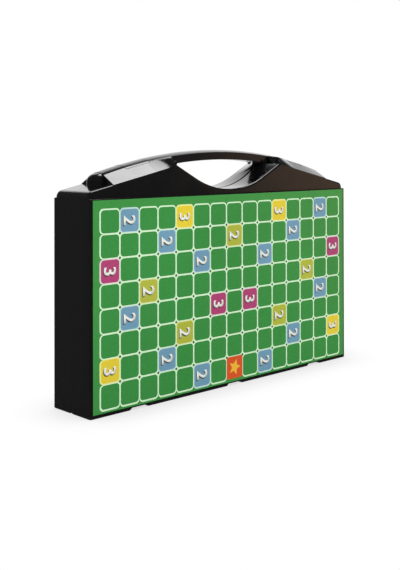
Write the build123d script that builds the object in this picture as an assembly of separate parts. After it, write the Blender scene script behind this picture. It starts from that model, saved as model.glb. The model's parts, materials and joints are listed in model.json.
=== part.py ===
from build123d import *
import math
import os

# Travel word tile game case, millimetres.
# X runs along the case, -Y is the front board, +Z is up, the origin is the middle of the base.

# ---- Printed boards ----
CELL = 22.0  # pitch of the squares, for 19 mm tiles
COLUMNS = 15
ROWS = 8  # rows on the front half of the board
MARGIN_SIDE = 7.3  # sheet beyond the squares, at each side
MARGIN_TOP = 8.2
MARGIN_BOTTOM = 3.1
RIM_SIDE = 3.0  # shell rim round the sheet
RIM_TOP = 1.0
RIM_BOTTOM = 3.3
SHEET_T = 0.5
SHEET_GAP = 0.12  # sheet to rim, all round

# ---- Case ----
DEPTH = 57.2  # both halves closed
RECESS = 3.8  # upper wall behind the board's face
WALL = 2.0
SEAM_GAP = 0.4  # between the closed halves
BOARD_EDGE_R = 0.9
CASE_EDGE_R = 2.2  # upright outer edges
SLOPE_RISE = 5.6  # shoulder line above the board's top, at the case's side
PEAK_RISE = 28.6  # shoulder line above the board's top, beside the hand scoop
PEAK_X = 71.0
SHOULDER_R = 6.5
SCOOP_RISE = 4.2  # lowest point of the hand scoop above the board's top
SCOOP_R = 100.0
WALL_EDGE_R = 2.0

# ---- Handle ----
ARCH_RISE = 41.2  # top front edge of the handle above the board's top, at the middle
ARCH_R = 528.0
CROWN = 2.4  # top of the handle across its width
HANDLE_W = 19.8
BAR_T = 7.6
GRIP_X = 55.0  # half length of the finger opening, at the seam
SEAM_SCOOP_R = 88.0  # hand scoop's curve at the seam
GROOVE_DEEP = 0.9  # groove along the seam in the finger opening
GROOVE_HALF_W = 1.3
LEDGE = 2.8  # flat strip between the wall's edge and the foot of the handle's flare
FLARE_FOOT_X = 41.0  # where the flare's foot starts on the front edge of the scoop
FLARE_HALF_W = 20.5  # half width of the handle's top beside the scoop
FLARE_TOP_X = 79.0
FLARE_END_X = 98.0  # where the handle's top has narrowed to HANDLE_W
FLARE_WALL = 1.3  # the flare leans, so the skin under it is drawn this much thicker
HANDLE_END_X = 147.0  # where the straight flanks end in round noses
NOSE_STEP = 0.3  # noses drawn in from the straight part
NOSE_EDGE_R = 7.0
HANDLE_DEEP = 30.0  # how far the handle's solid reaches into the case

# ---- Hinge at the base ----
HINGE_PITCH = 121.0
HINGE_R = 3.0  # pin axis to the base and to the seam face
HINGE_SLOT_W = 16.5
HINGE_MOUTH_W = 22.0  # the slot's tunnel widens towards the base
MOUTH_H = 2.2  # height of the tunnel, less than the rim under the sheet
LINK_SIDE_GAP = 0.4
LINK_GAP = 0.35  # link to the pocket's end and roof
PIN_R = 1.0
PIN_FIT = 0.02  # pin in the shell
PIN_RUN = 0.05  # pin in the part that turns on it
CHEEK = 4.0  # shell wall beside each hinge slot
RAIL_H = 5.0  # thick flange along the seam at the base
RAIL_W = 6.6

# ---- Latches on the handle's shoulders ----
LATCH_X = 109.0
LATCH_W = 28.0
LATCH_T = 2.0
LATCH_GAP = 0.3
LATCH_LIP = 1.6  # plate past the handle's front top edge
LATCH_AXIS_IN = 3.3  # pivot in from the handle's rear edge
LATCH_AXIS_DOWN = 1.8
BARREL_R = 2.8
BARREL_SHORT = 0.6  # barrel shorter than the plate
SWING_ROOM = 0.7  # shell cut back behind the handle's rear edge
SWING_DOWN = 1.0  # and down to this far below the pivot
HOOK_W = 20.0
HOOK_T = 1.6
HOOK_IN = 1.3  # hook's inner side behind the handle's front edge
HOOK_DEEP = 6.0
HOOK_SWING = 0.9  # slot in front of the hook, for its arc
BLOCK_MARGIN = 3.0
BLOCK_DEEP = 9.0

# ---- Seam lip on the side walls ----
LIP_T = 1.2
LIP_REACH = 2.0
LIP_GAP = 0.3
LIP_END = 14.0  # clear of the base and of the board's top

# ---- Fittings inside ----
BOSS_H = 3.0
BOSS_R = 3.2
SCREW_R = 1.1
SCREW_L = 4.0
SCREW_HEAD_R = 2.2
SCREW_HEAD_T = 1.0
HEAD_RIM = 1.0  # tab past a screw's head
FITTING_T = 1.5  # plates of the tray and the rack combs

TILE = 19.0
TILE_T = 4.5
TILE_EDGE = 0.5
TILE_ROWS = 2
TILES_PER_ROW = 50
TILE_PLAY = 0.3
TROUGH_H = 12.0
TRAY_Z = 44.0  # lower edge of the tray

RACKS = 4
RACK_L = 210.0
RACK_W = 22.0
RACK_H = 17.0
RACK_FOOT_T = 3.0
RACK_BACK_T = 3.0
RACK_GROOVE_LIP = 5.0
RACK_LEAN = 6.0  # back's top stands behind its foot
RACK_GAP = 0.2
COMB_INSET = 27.0  # comb's middle, in from a rack's end
COMB_W = 12.0
COMB_FIN_T = 2.0
COMB_FIN_H = 9.0
COMB_Z = 38.0

# ---- Drawing aids ----
HEADROOM = 24.0  # drawing room above the handle
ROD_SEAM = 37.0  # degrees, keeps a round surface's seam line off the flat faces
NOSE_ROOT = 6.0  # how far the noses reach into the straight part
HIP_ROOT = 4.0  # how far the shoulders' solid reaches below the wall's edge
LEAST_R = 0.5
TOUCH = 0.01

# ---- Worked out ----
HALF_W = COLUMNS * CELL / 2 + MARGIN_SIDE + RIM_SIDE
SHEET_TOP = RIM_BOTTOM + MARGIN_BOTTOM + ROWS * CELL + MARGIN_TOP
BOARD_TOP = SHEET_TOP + RIM_TOP
FACE_Y = DEPTH / 2
WALL_Y = FACE_Y - RECESS
SEAM = SEAM_GAP / 2
HANDLE_Y = HANDLE_W / 2
PANEL_Y = FACE_Y - SHEET_T - WALL  # inner side of the board panels

PEAK_Z = BOARD_TOP + PEAK_RISE
SLOPE = (PEAK_RISE - SLOPE_RISE) / (HALF_W - PEAK_X)
SLOPE_COS = math.cos(math.atan(SLOPE))
SCOOP_CENTRE_Z = BOARD_TOP + SCOOP_RISE + SCOOP_R
ARCH_CENTRE_Z = BOARD_TOP + ARCH_RISE - ARCH_R
CROWN_R = (HANDLE_Y**2 + CROWN**2) / (2 * CROWN)
PIN_Y = SEAM + HINGE_R
SKY = ARCH_CENTRE_Z + ARCH_R + HEADROOM
LEDGE_Y = WALL_Y - LEDGE
FLARE_TOP_Z = PEAK_Z + FLARE_TOP_X - PEAK_X
HINGE_XS = [-HINGE_PITCH, 0.0, HINGE_PITCH]
LATCH_TURN = math.degrees(math.asin(LATCH_X / ARCH_R))


def arch_z(x):
    """Height of the handle's top front edge."""
    return ARCH_CENTRE_Z + math.sqrt(ARCH_R**2 - x**2)


def slope_z(x):
    """Height of the shoulder line."""
    return PEAK_Z - SLOPE * (abs(x) - PEAK_X)


def prism(face, y0, y1):
    """A face drawn in X and Z, made solid from y0 to y1."""
    return extrude(Plane.XZ.offset(-y1) * face, amount=y1 - y0)


def block(x, y, z):
    """A box from its ranges along the axes."""
    size = Box(x[1] - x[0], y[1] - y[0], z[1] - z[0])
    return Pos((x[0] + x[1]) / 2, (y[0] + y[1]) / 2, (z[0] + z[1]) / 2) * size


def rod(x, y, z, r):
    """A cylinder along X over the range x, with its axis at y and z."""
    turned = Rot(0, 90, 0) * Rot(0, 0, ROD_SEAM)
    return Pos((x[0] + x[1]) / 2, y, z) * turned * Cylinder(r, x[1] - x[0])


def wall_face(e):
    """Outline of the case's wall, drawn in by e, before the scoop is cut."""
    side = HALF_W - e
    drop = e / SLOPE_COS
    peak = PEAK_Z - drop
    corners = [
        (-side, e),
        (side, e),
        (side, slope_z(side) - drop),
        (PEAK_X, peak),
        (-PEAK_X, peak),
        (-side, slope_z(side) - drop),
    ]
    face = make_face(Polyline(*corners, close=True))
    shoulders = [v for v in face.vertices() if abs(v.X) > side - TOUCH and v.Y > BOARD_TOP / 2]
    return fillet(shoulders, max(SHOULDER_R - e, LEAST_R))


def scoop_face(e):
    """The region above the hand scoop, grown by e."""
    r = SCOOP_R + e
    dx, dz = PEAK_X, PEAK_Z - SCOOP_CENTRE_Z
    reach = math.hypot(dx, dz)
    touch = math.atan2(dz, dx) - math.acos(SCOOP_R / reach)
    tx, tz = r * math.cos(touch), SCOOP_CENTRE_Z + r * math.sin(touch)
    flank = -1 / math.tan(touch)
    end = PEAK_X + e
    end_z = tz + (end - tx) * flank
    edge = [
        ThreePointArc((-tx, tz), (0, SCOOP_CENTRE_Z - r), (tx, tz)),
        Line((tx, tz), (end, end_z)),
        Line((end, end_z), (end, SKY)),
        Line((end, SKY), (-end, SKY)),
        Line((-end, SKY), (-end, end_z)),
        Line((-end, end_z), (-tx, tz)),
    ]
    return make_face(edge)


def funnel(e):
    """The room above the front half's scoop: it widens from the finger opening to the wall."""
    out = e * FLARE_WALL
    low = BOARD_TOP + SCOOP_RISE
    front_sides = [(FLARE_FOOT_X, low + rise_of(FLARE_FOOT_X, SCOOP_R)), (PEAK_X, PEAK_Z)]
    front_sides += [(FLARE_TOP_X, z) for z in (FLARE_TOP_Z, SKY)]
    seam = Plane.XZ * seam_face(out)
    front = Plane.XZ.offset(LEDGE_Y + e) * funnel_face(front_sides, low, out)
    return loft([seam, front], ruled=True)


def seam_face(out):
    """The finger opening's outline at the seam, open above, drawn outwards by out."""
    low = BOARD_TOP + SCOOP_RISE
    sides = [(GRIP_X, low + rise_of(GRIP_X, SEAM_SCOOP_R))]
    sides += [(GRIP_X, z) for z in (PEAK_Z, FLARE_TOP_Z, SKY)]
    return funnel_face(sides, low, out)


def rise_of(x, r):
    """How far an arc of radius r has risen at x from its lowest point."""
    return r - math.sqrt(r**2 - x**2)


def funnel_face(sides, low, out):
    """An outline from its right side's points, with an arc below, drawn outwards by out."""
    right = [(x + out, z - out) for x, z in sides[:-1]] + [(sides[-1][0] + out, SKY)]
    left = [(-x, z) for x, z in right]
    edge = [ThreePointArc(left[0], (0, low - out), right[0])]
    edge += [Line(a, b) for a, b in zip(right, right[1:])]
    edge.append(Line(right[-1], left[-1]))
    edge += [Line(b, a) for a, b in reversed(list(zip(left, left[1:])))]
    return make_face(edge)


def arch(e):
    """A crowned section turned along the handle's arch."""
    half = HANDLE_Y - e
    centre_z = ARCH_CENTRE_Z + ARCH_R + CROWN - CROWN_R
    side_z = centre_z + math.sqrt((CROWN_R - e) ** 2 - half**2)
    low = ARCH_CENTRE_Z + ARCH_R - HANDLE_DEEP
    edge = [
        Line((-half, low), (half, low)),
        Line((half, low), (half, side_z)),
        ThreePointArc((half, side_z), (0, centre_z + CROWN_R - e), (-half, side_z)),
        Line((-half, side_z), (-half, low)),
    ]
    section = Plane.YZ * make_face(edge)
    turn = math.degrees(math.asin((HANDLE_END_X + HANDLE_W) / ARCH_R))
    axis = Axis((0, 0, ARCH_CENTRE_Z), (0, 1, 0))
    return revolve(section.rotate(axis, -turn), axis, 2 * turn)


def nose(e):
    """The handle's round end on the right, a small step in from its straight part."""
    inset = e + NOSE_STEP
    half = HANDLE_Y - inset
    plan = Pos(HANDLE_END_X) * Circle(half)
    plan += Pos(HANDLE_END_X - NOSE_ROOT / 2) * Rectangle(NOSE_ROOT, 2 * half)
    solid = arch(inset) & Pos(0, 0, BOARD_TOP / 2) * extrude(plan, SKY)
    return round_edges(solid, lambda p: p.X > HANDLE_END_X and p.Z > BOARD_TOP, NOSE_EDGE_R - e)


def ridge(e):
    """The handle with its two noses."""
    between = Pos(0, 0, BOARD_TOP / 2) * extrude(Rectangle(2 * HANDLE_END_X, 2 * HANDLE_W), SKY)
    right = nose(e)
    return (arch(e) & between) + right + mirror(right, Plane.YZ)


def bar(e):
    """The part of the handle over the finger opening."""
    above = Pos(0, ARCH_CENTRE_Z) * Circle(ARCH_R - BAR_T + e)
    between = Pos(0, (BOARD_TOP + SKY) / 2) * Rectangle(2 * FLARE_TOP_X, SKY - BOARD_TOP)
    return ridge(e) & prism(between - above, -HANDLE_Y, HANDLE_Y)


def cheek(e):
    """The handle's top where it widens to the front beside the scoop, on the right."""
    below = Pos(0, ARCH_CENTRE_Z) * Circle(ARCH_R - e)
    corners = [(PEAK_X - LEDGE, 0), (FLARE_END_X, 0), (FLARE_END_X, e - HANDLE_Y)]
    corners += [(PEAK_X - LEDGE, e - FLARE_HALF_W)]
    plan = make_face(Polyline(*corners, close=True))
    deep = Pos(0, 0, PEAK_Z - HANDLE_DEEP) * extrude(plan, 2 * HANDLE_DEEP)
    return prism(below, -FLARE_HALF_W, 0) & deep


def lean_drop(x, y, e):
    """How far a shoulder surface that leans from the wall up to the handle at y drops for e."""
    return e * math.hypot(arch_z(x) - slope_z(x), WALL_Y - y) / (WALL_Y - y)


def hip(e, start, end):
    """A slanted surface at the front right, from the wall's top edge up to the handle's top edge.

    start and end are the ends of the top edge, each as x and the distance from the seam.
    """
    (x0, y0), (x1, y1) = start, end
    drop0, drop1 = lean_drop(x0, y0, e), lean_drop(x1, y1, e)
    low = slope_z(x1) - HIP_ROOT - max(drop0, drop1)
    xm, ym, drop = (x0 + x1) / 2, (y0 + y1) / 2, (drop0 + drop1) / 2
    wall = [(x0, low), (x1, low), (x1, slope_z(x1) - drop1), (x0, slope_z(x0) - drop0)]
    wall_side = Plane.XZ.offset(WALL_Y) * make_face(Polyline(*wall, close=True))
    top0, top1 = (x0, -y0, arch_z(x0) - drop0), (x1, -y1, arch_z(x1) - drop1)
    base0, base1 = (x0, -y0, low), (x1, -y1, low)
    top = ThreePointArc(top1, (xm, -ym, arch_z(xm) - drop), top0)
    handle_side = make_face([Line(base0, base1), Line(base1, top1), top, Line(top0, base0)])
    solid = loft([wall_side, handle_side], ruled=True)
    if e > 0:
        solid &= block((0, HALF_W), (e - WALL_Y, 0), (0, SKY))
        solid += extrude(handle_side, amount=e, dir=(0, 1, 0))
    return solid


def shoulders(e):
    """Both hips and the cheek of the front right, joined."""
    near, middle, far = (PEAK_X + e, FLARE_HALF_W), (FLARE_END_X, HANDLE_Y), (HANDLE_END_X - e, HANDLE_Y)
    return hip(e, near, middle) + hip(e, middle, far) + cheek(e)


def envelope(e, panel=0.0):
    """The closed case's form, drawn in by e on every side and by panel more at the boards."""
    board = Pos(0, BOARD_TOP / 2) * Rectangle(2 * (HALF_W - e), BOARD_TOP - 2 * e)
    form = prism(wall_face(e), e - WALL_Y, WALL_Y - e)
    form += prism(board, e + panel - FACE_Y, FACE_Y - e - panel)
    form += ridge(e)
    right = shoulders(e)
    left = mirror(right, Plane.YZ)
    for part in (right, left):
        form += part
        form += mirror(part, Plane.XZ)
    room = funnel(e)
    form -= room
    form -= mirror(room, Plane.XZ)
    form -= prism(scoop_face(e), -DEPTH, -LEDGE_Y - e)
    form -= prism(scoop_face(e), LEDGE_Y + e, DEPTH)
    if e == 0:
        form -= prism(seam_face(GROOVE_DEEP), -GROOVE_HALF_W, GROOVE_HALF_W)
    return form + bar(e)


def rounded(form):
    """The outer form with the moulding's small roundings on its shoulders, scoops and outer edges."""
    def at_wall(point, low, high):
        on_wall = abs(abs(point.Y) - WALL_Y) < TOUCH and point.Z > BOARD_TOP + LEAST_R
        return on_wall and low < abs(point.X) < high

    def upright(point):
        on_edge = abs(point.X) > HALF_W - TOUCH and abs(point.Y) > FACE_Y - TOUCH
        return on_edge and abs(point.Z - BOARD_TOP / 2) < TOUCH

    def level(point):
        return abs(point.X) < TOUCH and abs(point.Y) > FACE_Y - TOUCH

    form = round_edges(form, lambda point: at_wall(point, HANDLE_END_X, HALF_W), WALL_EDGE_R)
    form = round_edges(form, lambda point: at_wall(point, -1, PEAK_X), WALL_EDGE_R)
    form = round_edges(form, upright, CASE_EDGE_R)
    return round_edges(form, level, BOARD_EDGE_R)


def round_edges(form, chosen, r):
    """Rounds the edges whose middle is chosen."""
    return fillet([e for e in form.edges() if chosen(e.position_at(0.5))], r)


# ---- Shells ----
def tunnel(x, grow, y0, y1):
    """The flared slot that runs under the base to a hinge."""
    top = MOUTH_H + grow
    narrow, wide = HINGE_SLOT_W / 2 + grow, HINGE_MOUTH_W / 2 + grow
    edge = Polyline(
        (x - wide, -grow), (x + wide, -grow), (x + narrow, top), (x - narrow, top), close=True
    )
    return prism(make_face(edge), y0, y1)


def add_hinge_seats(shell):
    """Rail along the seam, with a pocket, a tunnel and pin holes at each hinge."""
    pocket_y = -PIN_Y - HINGE_R - LINK_GAP
    pocket_z = 2 * HINGE_R + LINK_GAP
    inner = HALF_W - WALL
    shell += block((-inner, inner), (-SEAM - RAIL_W, -SEAM), (WALL / 2, RAIL_H))
    half_slot = HINGE_SLOT_W / 2
    for x in HINGE_XS:
        cheeks = (x - half_slot - CHEEK, x + half_slot + CHEEK)
        shell += block(cheeks, (pocket_y - WALL, -SEAM), (WALL / 2, pocket_z + WALL))
        shell += tunnel(x, WALL, -PANEL_Y, pocket_y) & block(
            (-HALF_W, HALF_W), (-FACE_Y, 0), (WALL / 2, SKY)
        )
    corner = block((-HALF_W, HALF_W), (-PIN_Y, 0), (0, HINGE_R))
    shell -= corner - rod((-HALF_W, HALF_W), -PIN_Y, HINGE_R, HINGE_R)
    for x in HINGE_XS:
        slot = (x - half_slot, x + half_slot)
        shell -= block(slot, (pocket_y, 0), (0, pocket_z))
        shell -= tunnel(x, 0, -FACE_Y, pocket_y)
        shell -= rod(pin_span(x), -PIN_Y, HINGE_R, PIN_R + PIN_FIT)
    return shell


def pin_span(x):
    """Where a hinge pin lies along X."""
    half = HINGE_SLOT_W / 2 + CHEEK
    return (x - half, x + half)


def boss(x, z):
    """A screw boss on the board panel's inner side."""
    seat = Plane.XZ.offset(PANEL_Y - BOSS_H)
    post = extrude(seat * Pos(x, z) * Circle(BOSS_R), amount=BOSS_H + WALL / 2)
    hole = extrude(seat * Pos(x, z) * Circle(SCREW_R + PIN_FIT), amount=BOSS_H)
    return post, hole


def add_bosses(shell, places):
    for x, z in places:
        post, hole = boss(x, z)
        shell = shell + post - hole
    return shell


def half_shell(outer, cavity):
    """The front half, before its own latch seats, lips and bosses."""
    half = outer & block((-HALF_W, HALF_W), (-FACE_Y, -SEAM), (0, SKY))
    shell = add_hinge_seats(half - cavity)
    return shell - sheet_block(0.0)


def sheet_block(gap):
    """The printed sheet on the front board, smaller than its recess by gap all round."""
    half = HALF_W - RIM_SIDE - gap
    return block((-half, half), (-FACE_Y, SHEET_T - FACE_Y), (RIM_BOTTOM + gap, SHEET_TOP - gap))


def side_lips():
    """Strips on the front shell's side walls that reach into the rear shell."""
    outer = HALF_W - WALL - LIP_GAP
    z = (LIP_END, BOARD_TOP - LIP_END)
    strip = block((outer - LIP_T, outer), (-2 * LIP_REACH, LIP_REACH), z)
    strip += block((outer - LIP_T, HALF_W - WALL / 2), (-2 * LIP_REACH, -SEAM), z)
    return strip + mirror(strip, Plane.YZ)


# ---- Latches, drawn on the handle's top and turned to its shoulder ----
def on_shoulder(shape, side):
    return Pos(0, 0, ARCH_CENTRE_Z) * Rot(0, side * LATCH_TURN, 0) * Pos(0, 0, ARCH_R) * shape


AXIS_Y = HANDLE_Y - LATCH_AXIS_IN
AXIS_Z = -LATCH_AXIS_DOWN
LATCH_SAG = LATCH_W**2 / (16 * ARCH_R)  # half the arch's rise over a latch
HIP_SLOPE = (arch_z(LATCH_X) - slope_z(LATCH_X)) / (WALL_Y - HANDLE_Y)
HOOK_Y = HOOK_IN - HANDLE_Y  # hook's inner side


def across(width):
    return (-width / 2, width / 2)


def latch_blocks(side):
    """The blocks that fill the handle under one latch, in the front and the rear shell."""
    deep = (-BLOCK_DEEP, 2 * CROWN)
    far = HANDLE_Y + 2 * LATCH_LIP
    return [on_shoulder(block(pin_width(), y, deep), side) for y in ((-far, 0), (0, far))]


def latch_edge(front_y, drop):
    """Edges from a latch's front end to above its pivot, along the handle's top less drop."""
    def top(y):
        return CROWN - CROWN_R + math.sqrt(CROWN_R**2 - y**2) - LATCH_SAG - drop

    lip = (front_y, -LATCH_SAG - drop - (-front_y - HANDLE_Y) * HIP_SLOPE)
    corner = (-HANDLE_Y, top(HANDLE_Y))
    pivot = (AXIS_Y, top(AXIS_Y))
    return lip, pivot, [Line(lip, corner), ThreePointArc(corner, (0, top(0)), pivot)]


def across_handle(edges, width):
    """A closed outline in Y and Z made solid along X."""
    return extrude(Plane.YZ * make_face(edges), width / 2, both=True)


def latch_rooms(side):
    """The room cut for one latch: its plate's, its hook's and those of its barrel and pin."""
    width = LATCH_W + 2 * LATCH_GAP
    sky = 2 * CROWN
    lip, pivot, edge = latch_edge(-HANDLE_Y - LATCH_LIP - LATCH_GAP, LATCH_T + LATCH_GAP)
    edge.append(Polyline(pivot, (AXIS_Y, sky), (lip[0], sky), lip))
    plate_room = across_handle(edge, width)
    barrel_room = rod(across(width), AXIS_Y, AXIS_Z, BARREL_R + LATCH_GAP)
    swing_y = (AXIS_Y - BARREL_R, HANDLE_Y + SWING_ROOM)
    swing_room = block(across(width), swing_y, (AXIS_Z - SWING_DOWN, sky))
    hook_room = block(
        across(HOOK_W + 2 * LATCH_GAP),
        (HOOK_Y - HOOK_T - HOOK_SWING, HOOK_Y + LATCH_GAP),
        (-HOOK_DEEP - 2 * LATCH_GAP, sky),
    )
    pin_room = rod(pin_width(), AXIS_Y, AXIS_Z, PIN_R + PIN_FIT)
    front_cuts = [on_shoulder(c, side) for c in (plate_room, hook_room)]
    rear_cuts = [on_shoulder(c, side) for c in (plate_room, barrel_room, swing_room, pin_room)]
    return front_cuts, rear_cuts


def pin_width():
    return across(LATCH_W + 2 * LATCH_GAP + 2 * BLOCK_MARGIN)


def latch(side):
    """Latch plate flush with the handle, its hook over the front shell and its barrel."""
    lip, pivot, upper = latch_edge(-HANDLE_Y - LATCH_LIP, 0.0)
    low_lip, low_pivot, lower = latch_edge(-HANDLE_Y - LATCH_LIP, LATCH_T)
    plate = across_handle(upper + lower + [Line(lip, low_lip), Line(pivot, low_pivot)], LATCH_W)
    hook = block(across(HOOK_W), (HOOK_Y - HOOK_T, HOOK_Y), (-HOOK_DEEP, -LATCH_T / 2))
    barrel = rod(across(LATCH_W - BARREL_SHORT), AXIS_Y, AXIS_Z, BARREL_R)
    bore = rod(across(LATCH_W), AXIS_Y, AXIS_Z, PIN_R + PIN_RUN)
    return on_shoulder(plate + hook + barrel - bore, side)


def latch_pin(side):
    return on_shoulder(rod(pin_width(), AXIS_Y, AXIS_Z, PIN_R), side)


# ---- Hinge links and pins ----
def link(x):
    """A bar that turns on a pin in each shell, so that the case opens flat."""
    half = HINGE_SLOT_W / 2 - LINK_SIDE_GAP
    span = (x - half, x + half)
    body = block(span, (-PIN_Y, PIN_Y), (0, 2 * HINGE_R))
    for y in (-PIN_Y, PIN_Y):
        body += rod(span, y, HINGE_R, HINGE_R)
    for y in (-PIN_Y, PIN_Y):
        body -= rod(span, y, HINGE_R, PIN_R + PIN_RUN)
    return body


def hinge_pins(y):
    return [rod(pin_span(x), y, HINGE_R, PIN_R) for x in HINGE_XS]


# ---- Inside fittings ----
SEAT_Y = PANEL_Y - BOSS_H  # boss tops, from the seam plane
TRAY_L = TILES_PER_ROW * TILE_T + 2 * TILE_PLAY
TROUGH_W = TILE + 2 * TILE_PLAY
TRAY_H = TILE_ROWS * TROUGH_W + (TILE_ROWS + 1) * FITTING_T
TAB = 2 * (SCREW_HEAD_R + HEAD_RIM)
TAB_XS = [side * (TRAY_L / 2 + FITTING_T + TAB / 2) for side in (-1, 1)]
TAB_ZS = [TRAY_Z + TAB / 2, TRAY_Z + TRAY_H - TAB / 2]
TRAY_SCREWS = [(x, z) for x in TAB_XS for z in TAB_ZS]
RACK_PITCH = RACK_W + 2 * RACK_GAP + COMB_FIN_T
COMB_H = RACKS * RACK_PITCH + COMB_FIN_T
COMB_SCREW_ZS = [COMB_Z - TAB / 2, COMB_Z + COMB_H + TAB / 2]


def screw(x, z, y_head, out):
    """A screw along Y: its head's seat is at y_head and its shank points towards out."""
    head = prism(Pos(x, z) * Circle(SCREW_HEAD_R), *sorted((y_head, y_head - out * SCREW_HEAD_T)))
    shank = prism(Pos(x, z) * Circle(SCREW_R), *sorted((y_head, y_head + out * SCREW_L)))
    return head + shank


def screw_hole(x, z, y, out):
    hole = Pos(x, z) * Circle(SCREW_R + PIN_FIT)
    return prism(hole, *sorted((y - out * FITTING_T, y + out * FITTING_T)))


def tile_tray():
    """Two troughs for the tiles on edge, with a screw tab at each corner, in the rear half."""
    floor_y = SEAT_Y - FITTING_T
    length = (-TRAY_L / 2 - FITTING_T, TRAY_L / 2 + FITTING_T)
    high = (TRAY_Z, TRAY_Z + TRAY_H)
    tray = block(length, (floor_y - TROUGH_H, SEAT_Y), high)
    for row in range(TILE_ROWS):
        z = trough_z(row)
        tray -= block((-TRAY_L / 2, TRAY_L / 2), (0, floor_y), (z, z + TROUGH_W))
    for x in TAB_XS:
        tray += block((x - TAB / 2 - FITTING_T, x + TAB / 2 + FITTING_T), (floor_y, SEAT_Y), high)
    for x, z in TRAY_SCREWS:
        tray -= screw_hole(x, z, floor_y, 1)
    return tray


def trough_z(row):
    return TRAY_Z + FITTING_T + row * (TROUGH_W + FITTING_T)


def tile_row(row):
    """Tiles on edge, side by side along a trough."""
    one = chamfer(Box(TILE_T, TILE, TILE).edges(), TILE_EDGE)
    pitch = TRAY_L / TILES_PER_ROW
    y = SEAT_Y - FITTING_T - TILE_PLAY - TILE / 2
    z = trough_z(row) + TROUGH_W / 2
    first = (pitch - TRAY_L) / 2
    return [Pos(first + i * pitch, y, z) * one for i in range(TILES_PER_ROW)]


def rack_comb(x):
    """A strip of fins that holds the racks, screwed to the front half."""
    side = (x - COMB_W / 2, x + COMB_W / 2)
    floor = (-SEAT_Y, FITTING_T - SEAT_Y)
    comb = block(side, floor, (COMB_SCREW_ZS[0] - TAB / 2, COMB_SCREW_ZS[1] + TAB / 2))
    for i in range(RACKS + 1):
        z = COMB_Z + i * RACK_PITCH
        comb += block(side, (-SEAT_Y, floor[1] + COMB_FIN_H), (z, z + COMB_FIN_T))
    for z in COMB_SCREW_ZS:
        comb -= screw_hole(x, z, floor[1], -1)
    return comb


def rack(i):
    """A tile rack, its foot on the combs: a foot, a leaning back and a front lip."""
    y = FITTING_T + RACK_GAP - SEAT_Y
    z = COMB_Z + COMB_FIN_T + RACK_GAP + i * RACK_PITCH
    lip_z = RACK_BACK_T
    back_z = RACK_W - RACK_LEAN - RACK_BACK_T
    corners = [
        (y, z),
        (y, z + RACK_W),
        (y + RACK_H, z + RACK_W),
        (y + RACK_H, z + RACK_W - RACK_BACK_T / 2),
        (y + RACK_FOOT_T, z + back_z),
        (y + RACK_FOOT_T, z + lip_z),
        (y + RACK_FOOT_T + RACK_GROOVE_LIP, z + lip_z),
        (y + RACK_FOOT_T + RACK_GROOVE_LIP, z),
    ]
    section = Plane.YZ * make_face(Polyline(*corners, close=True))
    return extrude(section, RACK_L / 2, both=True)


def comb_xs():
    x = RACK_L / 2 - COMB_INSET
    return [-x, x]


# ---- Build ----
def main():
    os.makedirs("parts", exist_ok=True)
    parts = {}
    case = rounded(envelope(0.0))
    cavity = envelope(WALL, SHEET_T)
    for side in (-1, 1):
        for filled in latch_blocks(side):
            cavity -= filled

    front = half_shell(case, cavity)
    rear = mirror(front, Plane.XZ)
    front += side_lips()
    front = add_bosses(front, [(x, z) for x in comb_xs() for z in COMB_SCREW_ZS])
    rear = mirror(add_bosses(mirror(rear, Plane.XZ), TRAY_SCREWS), Plane.XZ)
    for side in (-1, 1):
        front_cuts, rear_cuts = latch_rooms(side)
        for cut in front_cuts:
            front -= cut
        for cut in rear_cuts:
            rear -= cut
        name = "left" if side < 0 else "right"
        parts["latch_" + name] = latch(side)
        parts["latch_pin_" + name] = latch_pin(side)
    parts["front_shell"] = front
    parts["rear_shell"] = rear

    parts["front_board_sheet"] = sheet_block(SHEET_GAP)
    parts["rear_board_sheet"] = mirror(sheet_block(SHEET_GAP), Plane.XZ)
    for name, x in zip(("left", "middle", "right"), HINGE_XS):
        parts["hinge_link_" + name] = link(x)
    parts["front_hinge_pins"] = Compound(children=hinge_pins(-PIN_Y))
    parts["rear_hinge_pins"] = Compound(children=hinge_pins(PIN_Y))

    parts["tile_tray"] = tile_tray()
    head_y = SEAT_Y - FITTING_T
    tray_screws = [screw(x, z, head_y, 1) for x, z in TRAY_SCREWS]
    parts["tray_screws"] = Compound(children=tray_screws)
    for row in range(TILE_ROWS):
        parts[f"letter_tiles_{row + 1}"] = Compound(children=tile_row(row))
    for name, x in zip(("left", "right"), comb_xs()):
        parts["rack_comb_" + name] = rack_comb(x)
    comb_screws = [screw(x, z, -head_y, -1) for x in comb_xs() for z in COMB_SCREW_ZS]
    parts["comb_screws"] = Compound(children=comb_screws)
    for i in range(RACKS):
        parts[f"tile_rack_{i + 1}"] = rack(i)

    for name, shape in parts.items():
        export_step(shape, f"parts/{name}.step")


main()
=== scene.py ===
"""Looks of the travel word tile game case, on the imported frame, in metres."""
import json
import math
from collections import defaultdict

import bmesh
import bpy
from mathutils import Matrix, Vector


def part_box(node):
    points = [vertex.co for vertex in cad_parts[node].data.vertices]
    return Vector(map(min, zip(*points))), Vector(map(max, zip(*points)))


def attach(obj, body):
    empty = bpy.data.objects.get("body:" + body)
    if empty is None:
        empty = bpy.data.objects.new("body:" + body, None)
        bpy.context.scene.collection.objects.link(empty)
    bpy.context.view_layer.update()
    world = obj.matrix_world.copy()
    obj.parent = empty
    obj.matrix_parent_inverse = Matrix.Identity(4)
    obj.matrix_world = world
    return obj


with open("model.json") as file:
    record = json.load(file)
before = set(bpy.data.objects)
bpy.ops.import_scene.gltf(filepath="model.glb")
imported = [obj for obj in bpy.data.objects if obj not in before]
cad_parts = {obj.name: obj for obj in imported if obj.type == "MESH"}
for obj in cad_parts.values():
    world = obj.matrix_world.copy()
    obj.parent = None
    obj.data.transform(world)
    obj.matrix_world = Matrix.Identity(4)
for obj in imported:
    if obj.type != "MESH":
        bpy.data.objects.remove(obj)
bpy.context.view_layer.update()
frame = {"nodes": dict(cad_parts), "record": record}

MM = 0.001
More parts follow.
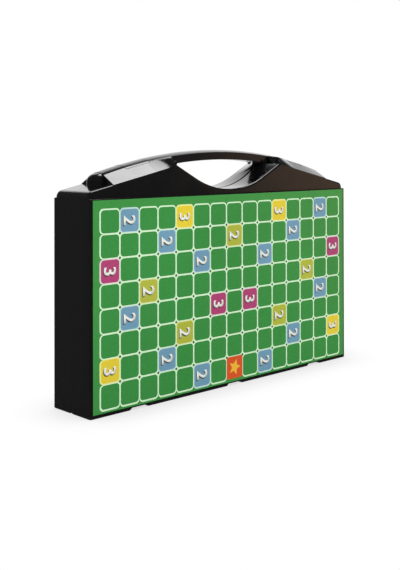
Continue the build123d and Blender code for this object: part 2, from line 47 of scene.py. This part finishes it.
QUARTER_TURN = math.pi / 2

# ---- Board print: sizes and layout ----
CELL = 22 * MM
COLUMNS = 15
MIDDLE_COLUMN = COLUMNS // 2
FRONT_ROWS = 8
REAR_ROWS = FRONT_ROWS - 1
GRID_BOTTOM = 6.4 * MM
LINE_HALF = 0.85 * MM  # a square's share of the line round it
# At the grid's right, upper, left and lower border: how far the line reaches past the grid, and how
# far the edge of a square's colour moves out.
BORDER_LINE = (0.35 * MM, 0.6 * MM, 0.35 * MM, 1.35 * MM)
BORDER_FILL = (-0.35 * MM, 0.0, -0.35 * MM, 0.6 * MM)
LINE_SHADE = 0.4 * MM  # width of the darker edge of a green square, inside its line
INNER_R = 3.3 * MM  # corner radius of a square's colour
BORDER_R = 4.0 * MM  # corner radius of a square's line at the grid's border
DIAMOND = 1.5 * MM  # half diagonal of the dark diamonds between four squares
CORNER_STEPS = 6
CORNER_SIGNS = ((1, 1), (-1, 1), (-1, -1), (1, -1))  # anticlockwise from the upper right
PRINT_SUNK = 0.02 * MM  # print's underside below the sheet's face
PRINT_T = 0.03 * MM  # top of the squares' print above the sheet's face
SHADOW_T = 0.045 * MM
MARK_T = 0.06 * MM
NUMBER_H = 13.5 * MM
STROKE = 0.02  # numerals' strokes made bolder, as a share of the type's size
GLYPH_STEPS = 4  # how finely a numeral's curves are divided
GLYPH_MERGE = 1e-5  # points of a numeral this close, as a share of its height, become one
SHADOW_SHIFT = (-0.8 * MM, -0.7 * MM)
STAR_ARMS = 5
STAR_R = 8.2 * MM
STAR_WAIST = 0.45  # distance of the inner corners, as a share of STAR_R

# The board's rows from its edge to its middle: offsets from the middle column, and the colour there.
LAYOUT = {
    1: {6: "blue", 3: "yellow"},
    2: {4: "blue", 0: "olive"},
    3: {7: "magenta", 2: "blue"},
    4: {5: "olive"},
    5: {6: "blue", 1: "magenta"},
    6: {3: "olive"},
    7: {7: "yellow", 4: "blue"},
    8: {2: "blue", 0: "star"},
}
NUMBERS = {"blue": "2", "olive": "2", "magenta": "3", "yellow": "3"}


# ---- Colours ----
def srgb(r, g, b):
    """A colour as it shows on a screen, 0 to 255, made linear by the standard curve."""
    def linear(v):
        v /= 255
        return v / 12.92 if v <= 0.04045 else ((v + 0.055) / 1.055) ** 2.4

    return (linear(r), linear(g), linear(b), 1)


def grey(v):
    """An even grey, linear."""
    return (v, v, v, 1)


def shaded(colour, factor):
    """The colour made darker or lighter."""
    return tuple(min(1, c * factor) for c in colour[:3]) + (1,)


FILLS = {
    "green": srgb(56, 146, 66),
    "blue": srgb(112, 158, 184),
    "yellow": srgb(232, 208, 52),
    "olive": srgb(180, 186, 62),
    "magenta": srgb(180, 66, 116),
    "star": srgb(222, 84, 30),
}
OUTLINES = {
    "green": srgb(214, 248, 206),
    "blue": srgb(196, 226, 220),
    "yellow": srgb(240, 240, 158),
    "olive": srgb(224, 232, 160),
    "magenta": srgb(232, 216, 216),
}
GROUND = srgb(62, 150, 68)
DIAMOND_GREEN = srgb(58, 92, 52)
SHADE_GREEN = srgb(42, 120, 56)
MARK_WHITE = srgb(244, 244, 236)
MARK_SHADOW = srgb(54, 52, 44)
STAR_GOLD = srgb(242, 186, 52)

SHELL_BLACK = srgb(13, 13, 14)
HINGE_BLACK = srgb(17, 17, 18)
LATCH_BLACK = srgb(15, 15, 16)
TRAY_GREY = srgb(66, 67, 70)
RACK_GREEN = srgb(36, 104, 52)
TILE_IVORY = (srgb(222, 208, 170), srgb(236, 224, 192))  # darkest and lightest tile
TILE_MARBLE = srgb(214, 196, 152)
STEEL_GREY = (grey(0.46), grey(0.62))

# ---- Surfaces ----
# A scale counts a noise's waves in a metre. A bump layer is its scale, depth and strength.
NOISE_DETAIL = 3.0
NOISE_MIDDLE = (0.35, 0.65)  # where most of a noise's values lie
NOISE_PEAKS = (0.45, 0.75)
OUTER_EDGES = (0.505, 0.56)  # pointiness where an outer edge starts to show, and shows in full
BEVEL_SAMPLES = 4

MOULD_PATCH_SCALE = 34
MOULD_SPREAD = (0.86, 1.14)  # of the colour's brightness
MOULD_GLOSS_SCALE = 55
MOULD_WAVES = (22, 0.25 * MM, 0.12)
MOULD_SKIN_SCALE = 900
MOULD_SKIN_STRENGTH = 0.25
MOULD_COAT = 0.8
MOULD_COAT_ROUGH = 0.05

INK_DETAIL = 1.0
INK_PATCH_SCALE = 9
INK_DOT_SCALE = 2600
INK_DOT_SHADE = 0.94
PALE_SPREAD = 0.02
FILM_ROUGH = (0.24, 0.34)
FILM_GLOSS_SCALE = 40
FILM_RIPPLE = (70, 0.1 * MM, 0.05)
FILM_COAT = 0.35
FILM_COAT_ROUGH = 0.12

STEEL_STREAK_SCALE = 120
STEEL_STREAK_STRETCH = (0.1, 1, 1)
STEEL_ROUGH = (0.22, 0.38)
STEEL_LINE_SCALE = 400
STEEL_LINE_STRETCH = (0.05, 1, 1)
STEEL_SKIN = (1800, 0.01 * MM, 0.3)
STEEL_EDGE_R = 0.1 * MM

TILE_VEIN_SCALE = 260
TILE_VEIN_DETAIL = 4
TILE_ROUGH = (0.35, 0.5)
TILE_GLOSS_SCALE = 150
TILE_SKIN = (700, 0.03 * MM, 0.3)
TILE_EDGE_R = 0.3 * MM

# ---- Studio and camera ----
WHITE = grey(1.0)
ROOM_GREY = grey(0.05)  # the dim studio that reflections show
SOFT_GREY = grey(0.62)  # the even light on everything
# The studio's bright fields, each over the one before: direction, the cosines to it where the field
# starts and is in full, and colour. They lie behind, at the right and overhead.
FIELDS = (
    ((0.55, 0.78, 0.30), (0.82, 0.94), WHITE),
    ((0.83, -0.56, 0.0), (0.968, 1.0), (0.55, 0.36, 0.24, 1)),
    ((0.36, 0.09, 0.925), (0.956, 0.98), grey(5.0)),
)
LAMP_AIM = (0, 0, 0.1)
LAMPS = (  # name, place, diameter and watts
    ("key", (-0.9, -1.5, 1.7), 1.2, 22),
    ("fill", (1.2, -1.2, 1.2), 1.0, 6),
)
FLOOR_SIZE = 2.5
FLOOR_SEGMENTS = 8
FLOOR_GREY = grey(0.8)
FLOOR_ROUGH = 0.9
SHADE_REACH = 0.05  # how near something is where the floor darkens
SHADE_GREY = grey(0.7)
SHADE_SPAN = (0.25, 0.95)  # openness of the floor from full shade to none
SHADE_SAMPLES = 8

CAMERA_PLACE = (-0.63495, -0.67669, 0.23181)
CAMERA_TURN = (90.326, 0.106, -44.271)  # degrees about X, Y and Z
CAMERA_SENSOR = 36  # millimetres, as the lens
CAMERA_LENS = 57.138
CAMERA_SHIFT = (-0.05614, -0.24072)
CAMERA_NEAR = 0.01


# ---- Node helpers ----
def new_material(name):
    """A new material, its node tree and its main shader."""
    mat = bpy.data.materials.new(name)
    mat.use_nodes = True
    tree = mat.node_tree
    return mat, tree, tree.nodes["Principled BSDF"]


def add_node(tree, kind, **values):
    """A shader node with some of its properties set."""
    node = tree.nodes.new("ShaderNode" + kind)
    for key, value in values.items():
        setattr(node, key, value)
    return node


def noise(tree, scale, detail=NOISE_DETAIL, stretch=None):
    """Noise with scale waves in a metre, stretched along an axis where asked."""
    node = add_node(tree, "TexNoise")
    node.inputs["Scale"].default_value = scale
    node.inputs["Detail"].default_value = detail
    source = add_node(tree, "TexCoord").outputs["Object"]
    if stretch:
        mapping = add_node(tree, "Mapping")
        mapping.inputs["Scale"].default_value = stretch
        tree.links.new(source, mapping.inputs["Vector"])
        source = mapping.outputs["Vector"]
    tree.links.new(source, node.inputs["Vector"])
    return node.outputs["Fac"]


def ramp(tree, fac, low, high, span=NOISE_MIDDLE):
    """A colour that goes from low to high as fac goes through the span."""
    node = add_node(tree, "ValToRGB")
    first, last = node.color_ramp.elements
    first.position, first.color = span[0], low
    last.position, last.color = span[1], high
    tree.links.new(fac, node.inputs["Fac"])
    return node.outputs["Color"]


def patches(tree, colour, scale, spread, detail=NOISE_DETAIL):
    """The colour in soft patches, from the first to the second of the factors in spread."""
    darkest, lightest = (shaded(colour, factor) for factor in spread)
    return ramp(tree, noise(tree, scale, detail), darkest, lightest)


def peaks_mask(tree, scale, detail):
    """White at the peaks of a noise."""
    return ramp(tree, noise(tree, scale, detail), grey(0), grey(1), NOISE_PEAKS)


def edges_mask(tree):
    """White where the surface has an outer edge."""
    pointiness = add_node(tree, "NewGeometry").outputs["Pointiness"]
    return ramp(tree, pointiness, grey(0), grey(1), OUTER_EDGES)


def mix(tree, fac, a, b):
    """Goes from a to b as fac goes from 0 to 1; each is a colour or a socket."""
    node = add_node(tree, "Mix", data_type="RGBA")
    tree.links.new(fac, node.inputs["Factor"])
    for socket, value in (("A", a), ("B", b)):
        target = [s for s in node.inputs if s.name == socket and s.type == "RGBA"][0]
        if isinstance(value, tuple):
            target.default_value = value
        else:
            tree.links.new(value, target)
    return [s for s in node.outputs if s.type == "RGBA"][0]


def roughness(tree, bsdf, limits, scale, stretch=None):
    """Gloss that changes softly over the surface between two limits of roughness."""
    low, high = (grey(limit) for limit in limits)
    tree.links.new(ramp(tree, noise(tree, scale, stretch=stretch), low, high), bsdf.inputs["Roughness"])


def bump(tree, bsdf, layers, edge_r=None):
    """Bump layers, over edges softened by edge_r where it is given."""
    normal = None
    if edge_r:
        bevel = add_node(tree, "Bevel", samples=BEVEL_SAMPLES)
        bevel.inputs["Radius"].default_value = edge_r
        normal = bevel.outputs["Normal"]
    for scale, depth, strength in layers:
        node = add_node(tree, "Bump")
        node.inputs["Distance"].default_value = depth
        node.inputs["Strength"].default_value = strength
        tree.links.new(noise(tree, scale), node.inputs["Height"])
        if normal:
            tree.links.new(normal, node.inputs["Normal"])
        normal = node.outputs["Normal"]
    tree.links.new(normal, bsdf.inputs["Normal"])


# ---- Materials ----
def moulded(name, colour, edge_r, rough=(0.12, 0.22), edge_wear_and_highlight=1.6, grain=0.02 * MM, coat=0.0):
    """Injection-moulded plastic: slight waves, a fine skin, uneven gloss, and outer edges made lighter,
    partly wear and partly a painted edge highlight.
    """
    mat, tree, bsdf = new_material(name)
    base = patches(tree, colour, MOULD_PATCH_SCALE, MOULD_SPREAD)
    # Outer edges lighter in colour: partly wear, partly a painted highlight along the edges.
    worn_and_highlit = mix(tree, edges_mask(tree), base, shaded(colour, edge_wear_and_highlight))
    tree.links.new(worn_and_highlit, bsdf.inputs["Base Color"])
    roughness(tree, bsdf, rough, MOULD_GLOSS_SCALE)
    bump(tree, bsdf, [MOULD_WAVES, (MOULD_SKIN_SCALE, grain, MOULD_SKIN_STRENGTH)], edge_r)
    bsdf.inputs["Coat Weight"].default_value = coat
    bsdf.inputs["Coat Roughness"].default_value = MOULD_COAT_ROUGH
    return mat


def printed(name, colour, spread=0.05):
    """Printed and laminated sheet: nearly even ink under a glossy film with a slight ripple."""
    mat, tree, bsdf = new_material(name)
    ink = patches(tree, colour, INK_PATCH_SCALE, (1 - spread, 1 + spread), INK_DETAIL)
    dots = peaks_mask(tree, INK_DOT_SCALE, INK_DETAIL)
    tree.links.new(mix(tree, dots, ink, shaded(colour, INK_DOT_SHADE)), bsdf.inputs["Base Color"])
    roughness(tree, bsdf, FILM_ROUGH, FILM_GLOSS_SCALE)
    bump(tree, bsdf, [FILM_RIPPLE])
    bsdf.inputs["Coat Weight"].default_value = FILM_COAT
    bsdf.inputs["Coat Roughness"].default_value = FILM_COAT_ROUGH
    return mat


def drawn_steel(name):
    """Steel wire and screws: bright, with fine lines along X and a little dulling."""
    mat, tree, bsdf = new_material(name)
    streaks = ramp(tree, noise(tree, STEEL_STREAK_SCALE, stretch=STEEL_STREAK_STRETCH), *STEEL_GREY)
    tree.links.new(streaks, bsdf.inputs["Base Color"])
    roughness(tree, bsdf, STEEL_ROUGH, STEEL_LINE_SCALE, STEEL_LINE_STRETCH)
    bump(tree, bsdf, [STEEL_SKIN], STEEL_EDGE_R)
    bsdf.inputs["Metallic"].default_value = 1.0
    return mat


def tile_plastic(name):
    """Ivory tiles: each block its own shade, satin, with soft edges."""
    mat, tree, bsdf = new_material(name)
    island = add_node(tree, "NewGeometry").outputs["Random Per Island"]
    each = ramp(tree, island, *TILE_IVORY, (0, 1))
    veins = peaks_mask(tree, TILE_VEIN_SCALE, TILE_VEIN_DETAIL)
    tree.links.new(mix(tree, veins, each, TILE_MARBLE), bsdf.inputs["Base Color"])
    roughness(tree, bsdf, TILE_ROUGH, TILE_GLOSS_SCALE)
    bump(tree, bsdf, [TILE_SKIN], TILE_EDGE_R)
    return mat


def dress_nodes():
    """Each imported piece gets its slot's material."""
    steel = drawn_steel("steel")
    satin_grey = dict(edge_r=0.3 * MM, rough=(0.34, 0.5), edge_wear_and_highlight=1.25, grain=0.05 * MM)
    satin_green = dict(edge_r=0.4 * MM, rough=(0.28, 0.42), edge_wear_and_highlight=1.3, grain=0.04 * MM)
    polished = dict(edge_r=0.3 * MM, rough=(0.14, 0.24), coat=MOULD_COAT)
    by_slot = {
        "shell": moulded("shell_black", SHELL_BLACK, edge_r=0.8 * MM, coat=MOULD_COAT),
        "board_print": printed("print_ground", GROUND),
        "hinge_link": moulded("hinge_black", HINGE_BLACK, edge_r=0.3 * MM, rough=(0.2, 0.32)),
        "pin": steel,
        "latch": moulded("latch_black", LATCH_BLACK, **polished),
        "tray": moulded("tray_grey", TRAY_GREY, **satin_grey),
        "screw": steel,
        "tile": tile_plastic("tile_ivory"),
        "rack": moulded("rack_green", RACK_GREEN, **satin_green),
    }
    for part in frame["record"]["subparts"]:
        mesh = frame["nodes"][part["node"]].data
        mesh.materials.clear()
        mesh.materials.append(by_slot[part["material_slot"]])


def print_materials():
    """An ink for each layer of the print, by the layer's name."""
    mats = {"fill_" + kind: printed("ink_" + kind, colour) for kind, colour in FILLS.items()}
    for kind, colour in OUTLINES.items():
        mats["line_" + kind] = printed("ink_line_" + kind, colour, PALE_SPREAD)
    mats["shade_green"] = printed("ink_shade_green", SHADE_GREEN)
    mats["diamonds"] = printed("ink_diamonds", DIAMOND_GREEN)
    mats["numerals"] = printed("ink_numerals", MARK_WHITE, PALE_SPREAD)
    mats["shadows"] = printed("ink_shadows", MARK_SHADOW)
    mats["star_gold"] = printed("ink_star", STAR_GOLD)
    return mats


# ---- Board print: outlines ----
def corner(cx, cz, turn, r, chamfered):
    """Points round one corner, from the side before it to the side after it, anticlockwise."""
    c, s = math.cos(turn), math.sin(turn)
    points = []
    for i in range(CORNER_STEPS + 1):
        t = i / CORNER_STEPS
        if chamfered:
            x, z = r * (1 - t), r * t
        else:
            x, z = r * math.cos(t * QUARTER_TURN), r * math.sin(t * QUARTER_TURN)
        points.append((cx + x * c - z * s, cz + x * s + z * c))
    return points


def square(cx, cz, half, radii, out=(0, 0, 0, 0)):
    """A square outline; each corner has its own radius, negative for a chamfer.

    out moves the right, upper, left and lower sides outwards.
    """
    points = []
    for i, (r, (sx, sz)) in enumerate(zip(radii, CORNER_SIGNS)):
        reach_x = half + out[0 if sx > 0 else 2] - abs(r)
        reach_z = half + out[1 if sz > 0 else 3] - abs(r)
        points += corner(cx + sx * reach_x, cz + sz * reach_z, i * QUARTER_TURN, abs(r), r < 0)
    return points


def square_edges(cx, cz, offset, level, rows):
    """A square's edges: round its line, which is chamfered inside the grid, round its colour and within."""
    right, left = offset == MIDDLE_COLUMN, offset == -MIDDLE_COLUMN
    top, bottom = level == rows - 1, level == 0
    on_border = (right or top, left or top, left or bottom, right or bottom)
    radii = [BORDER_R if border else -DIAMOND for border in on_border]
    sides = (right, top, left, bottom)
    line_out = [out if side else 0 for out, side in zip(BORDER_LINE, sides)]
    fill_out = [out if side else 0 for out, side in zip(BORDER_FILL, sides)]
    half = CELL / 2 - LINE_HALF
    return (
        square(cx, cz, CELL / 2, radii, line_out),
        square(cx, cz, half, [INNER_R] * 4, fill_out),
        square(cx, cz, half - LINE_SHADE, [INNER_R - LINE_SHADE] * 4, fill_out),
    )


def star_points(cx, cz):
    """The star's outline; one arm points towards the right, as the numerals' tops."""
    points = []
    for i in range(2 * STAR_ARMS):
        reach = STAR_R if i % 2 == 0 else STAR_R * STAR_WAIST
        angle = i * math.pi / STAR_ARMS
        points.append((cx + reach * math.cos(angle), cz + reach * math.sin(angle)))
    return points


def glyph(text):
    """A numeral's flat mesh, centred, one unit high."""
    curve = bpy.data.curves.new("glyph", "FONT")
    curve.body = text
    curve.resolution_u = GLYPH_STEPS
    curve.offset = STROKE
    obj = bpy.data.objects.new("glyph", curve)
    bpy.context.collection.objects.link(obj)
    bpy.context.view_layer.update()
    mesh = bpy.data.meshes.new_from_object(obj.evaluated_get(bpy.context.evaluated_depsgraph_get()))
    bpy.data.objects.remove(obj)
    xs = [v.co.x for v in mesh.vertices]
    ys = [v.co.y for v in mesh.vertices]
    middle = Vector(((min(xs) + max(xs)) / 2, (min(ys) + max(ys)) / 2, 0))
    height = max(ys) - min(ys)
    mesh.transform(Matrix.Scale(1 / height, 4) @ Matrix.Translation(-middle))
    return mesh


# ---- Board print: pieces ----
def placer(side):
    """Turns a place on the board's face, as seen from in front of it, into a point."""
    low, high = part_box("front_board_sheet" if side == "front" else "rear_board_sheet")
    if side == "front":
        return lambda x, z, up: Vector((x, low[1] - up, z))
    return lambda x, z, up: Vector((-x, high[1] + up, z))


def add_plate(bm, outline, hole, top, place):
    """A thin closed plate with the outline, round the hole if there is one, put on the board by place."""
    def ring(points, height):
        return [bm.verts.new(place(x, z, height)) for x, z in points]

    upper, lower = ring(outline, top), ring(outline, -PRINT_SUNK)
    count = len(outline)
    nexts = [(i, (i + 1) % count) for i in range(count)]
    for i, j in nexts:
        bm.faces.new((lower[i], lower[j], upper[j], upper[i]))
    if hole is None:
        bm.faces.new(upper)
        bm.faces.new(lower)
        return
    upper_in, lower_in = ring(hole, top), ring(hole, -PRINT_SUNK)
    for i, j in nexts:
        bm.faces.new((upper[i], upper[j], upper_in[j], upper_in[i]))
        bm.faces.new((lower[i], lower[j], lower_in[j], lower_in[i]))
        bm.faces.new((lower_in[i], lower_in[j], upper_in[j], upper_in[i]))


def add_mark(bm, mesh, cx, cz, size, top, place):
    """A flat mesh laid on the board, thickened down into the sheet.

    Its top is towards the right, or towards the left where size is negative.
    """
    flat = bmesh.new()
    flat.from_mesh(mesh)
    bmesh.ops.remove_doubles(flat, verts=flat.verts, dist=GLYPH_MERGE)
    made = bmesh.ops.extrude_face_region(flat, geom=flat.faces[:])
    raised = {v for v in made["geom"] if isinstance(v, bmesh.types.BMVert)}
    for v in flat.verts:
        x, z = cx + v.co.y * size, cz - v.co.x * size
        v.co = place(x, z, top if v in raised else -PRINT_SUNK)
    done = bpy.data.meshes.new("mark")
    flat.to_mesh(done)
    flat.free()
    bm.from_mesh(done)


def print_star(layers, cx, cz, place):
    """The middle square: a plain colour with a star."""
    add_plate(layers["fill_star"], square(cx, cz, CELL / 2, [-DIAMOND] * 4), None, PRINT_T, place)
    add_plate(layers["star_gold"], star_points(cx, cz), None, MARK_T, place)


def print_square(layers, kind, edges, place):
    """A square's line and its colour; a green one has a darker edge inside its line."""
    outer, inner, within = edges
    add_plate(layers["line_" + kind], outer, inner, PRINT_T, place)
    if kind == "green":
        add_plate(layers["shade_green"], inner, within, PRINT_T, place)
        inner = within
    add_plate(layers["fill_" + kind], inner, None, PRINT_T, place)


def print_number(layers, mesh, cx, cz, turn, place):
    """A numeral over its drop shadow."""
    dx, dz = (turn * shift for shift in SHADOW_SHIFT)
    add_mark(layers["shadows"], mesh, cx + dx, cz + dz, turn * NUMBER_H, SHADOW_T, place)
    add_mark(layers["numerals"], mesh, cx, cz, turn * NUMBER_H, MARK_T, place)


def print_diamonds(layers, rows, place):
    """A dark diamond wherever four squares meet."""
    for column in range(1, COLUMNS):
        for level in range(1, rows):
            cx, cz = (column - COLUMNS / 2) * CELL, GRID_BOTTOM + level * CELL
            points = [(cx + DIAMOND, cz), (cx, cz + DIAMOND), (cx - DIAMOND, cz), (cx, cz - DIAMOND)]
            add_plate(layers["diamonds"], points, None, PRINT_T, place)


def cells(rows):
    """Each square of one half: its offset from the middle column, its level and its kind."""
    for row in range(1, rows + 1):
        for column in range(COLUMNS):
            offset = column - MIDDLE_COLUMN
            yield offset, rows - row, LAYOUT[row].get(abs(offset), "green")


def finish_piece(bm, name, mat, body):
    """Makes one layer of the print an object that moves with its half."""
    bmesh.ops.recalc_face_normals(bm, faces=bm.faces)
    mesh = bpy.data.meshes.new(name)
    bm.to_mesh(mesh)
    bm.free()
    obj = bpy.data.objects.new(name, mesh)
    bpy.context.collection.objects.link(obj)
    mesh.materials.append(mat)
    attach(obj, body)


def print_board(side, body, mats):
    """All the print on one half: squares, their outlines, diamonds and marks."""
    place = placer(side)
    rows = FRONT_ROWS if side == "front" else REAR_ROWS
    turn = 1 if side == "front" else -1  # the open board reads the same way on both halves
    layers = defaultdict(bmesh.new)
    glyphs = {text: glyph(text) for text in sorted(set(NUMBERS.values()))}
    for offset, level, kind in cells(rows):
        cx, cz = offset * CELL, GRID_BOTTOM + (level + 0.5) * CELL
        if kind == "star":
            print_star(layers, cx, cz, place)
            continue
        print_square(layers, kind, square_edges(cx, cz, offset, level, rows), place)
        if kind in NUMBERS:
            print_number(layers, glyphs[NUMBERS[kind]], cx, cz, turn, place)
    print_diamonds(layers, rows, place)
    for name, bm in layers.items():
        finish_piece(bm, f"{side}_print_{name}", mats[name], body)


# ---- Studio ----
def facing(tree, direction, towards, cosines):
    """0 to 1 as a ray's direction comes round to towards, between the two cosines."""
    dot = add_node(tree, "VectorMath", operation="DOT_PRODUCT")
    tree.links.new(direction, dot.inputs[0])
    dot.inputs[1].default_value = Vector(towards).normalized()
    rise = add_node(tree, "MapRange", interpolation_type="SMOOTHSTEP")
    tree.links.new(dot.outputs["Value"], rise.inputs["Value"])
    rise.inputs["From Min"].default_value, rise.inputs["From Max"].default_value = cosines
    return rise.outputs["Result"]


def add_world():
    """White to the camera, even for soft light, and a dim studio with bright fields for reflections."""
    world = bpy.data.worlds.new("studio")
    bpy.context.scene.world = world
    world.use_nodes = True
    tree = world.node_tree
    tree.nodes.clear()
    direction = add_node(tree, "TexCoord").outputs["Generated"]
    room = ROOM_GREY
    for towards, cosines, colour in FIELDS:
        room = mix(tree, facing(tree, direction, towards, cosines), room, colour)
    path = add_node(tree, "LightPath")
    soft = mix(tree, path.outputs["Is Glossy Ray"], SOFT_GREY, room)
    seen = mix(tree, path.outputs["Is Camera Ray"], soft, WHITE)
    shader = add_node(tree, "Background")
    tree.links.new(seen, shader.inputs["Color"])
    out = add_node(tree, "OutputWorld")
    tree.links.new(shader.outputs[0], out.inputs["Surface"])


def add_lamp(name, place, size, power):
    """A soft lamp that shows in no reflection."""
    lamp = bpy.data.lights.new(name, "AREA")
    lamp.shape = "DISK"
    lamp.size = size
    lamp.energy = power
    obj = bpy.data.objects.new(name, lamp)
    obj.location = place
    obj.rotation_euler = (Vector(LAMP_AIM) - Vector(place)).to_track_quat("-Z", "Y").to_euler()
    obj.visible_glossy = False
    bpy.context.collection.objects.link(obj)


def floor_material():
    """White to light, and clear to the camera and to reflections but for a soft shade under the case."""
    mat, tree, bsdf = new_material("floor_white")
    bsdf.inputs["Base Color"].default_value = FLOOR_GREY
    bsdf.inputs["Roughness"].default_value = FLOOR_ROUGH
    clear = add_node(tree, "BsdfTransparent")
    shade = add_node(tree, "AmbientOcclusion", samples=SHADE_SAMPLES)
    shade.inputs["Distance"].default_value = SHADE_REACH
    tint = ramp(tree, shade.outputs["AO"], SHADE_GREY, WHITE, SHADE_SPAN)
    tree.links.new(tint, clear.inputs["Color"])
    path = add_node(tree, "LightPath")
    either = add_node(tree, "Math", operation="MAXIMUM")
    tree.links.new(path.outputs["Is Camera Ray"], either.inputs[0])
    tree.links.new(path.outputs["Is Glossy Ray"], either.inputs[1])
    swap = add_node(tree, "MixShader")
    tree.links.new(either.outputs[0], swap.inputs["Fac"])
    tree.links.new(bsdf.outputs[0], swap.inputs[1])
    tree.links.new(clear.outputs[0], swap.inputs[2])
    tree.links.new(swap.outputs[0], tree.nodes["Material Output"].inputs["Surface"])
    return mat


def add_floor():
    """The floor under the case."""
    bm = bmesh.new()
    bmesh.ops.create_grid(bm, x_segments=FLOOR_SEGMENTS, y_segments=FLOOR_SEGMENTS, size=FLOOR_SIZE)
    mesh = bpy.data.meshes.new("floor")
    bm.to_mesh(mesh)
    bm.free()
    mesh.materials.append(floor_material())
    floor = bpy.data.objects.new("floor", mesh)
    bpy.context.collection.objects.link(floor)


def add_camera():
    """The photograph's view: nearly level, from the front left."""
    cam = bpy.data.cameras.new("camera")
    cam.sensor_width = CAMERA_SENSOR
    cam.lens = CAMERA_LENS
    cam.shift_x, cam.shift_y = CAMERA_SHIFT
    cam.clip_start = CAMERA_NEAR
    obj = bpy.data.objects.new("camera", cam)
    obj.location = CAMERA_PLACE
    obj.rotation_euler = [math.radians(angle) for angle in CAMERA_TURN]
    bpy.context.collection.objects.link(obj)
    bpy.context.scene.camera = obj


scene = bpy.context.scene
scene.view_settings.view_transform = "Standard"
dress_nodes()
mats = print_materials()
print_board("front", "front_half", mats)
print_board("rear", "rear_half", mats)
add_world()
for name, place, size, power in LAMPS:
    add_lamp(name, place, size, power)
add_floor()
add_camera()
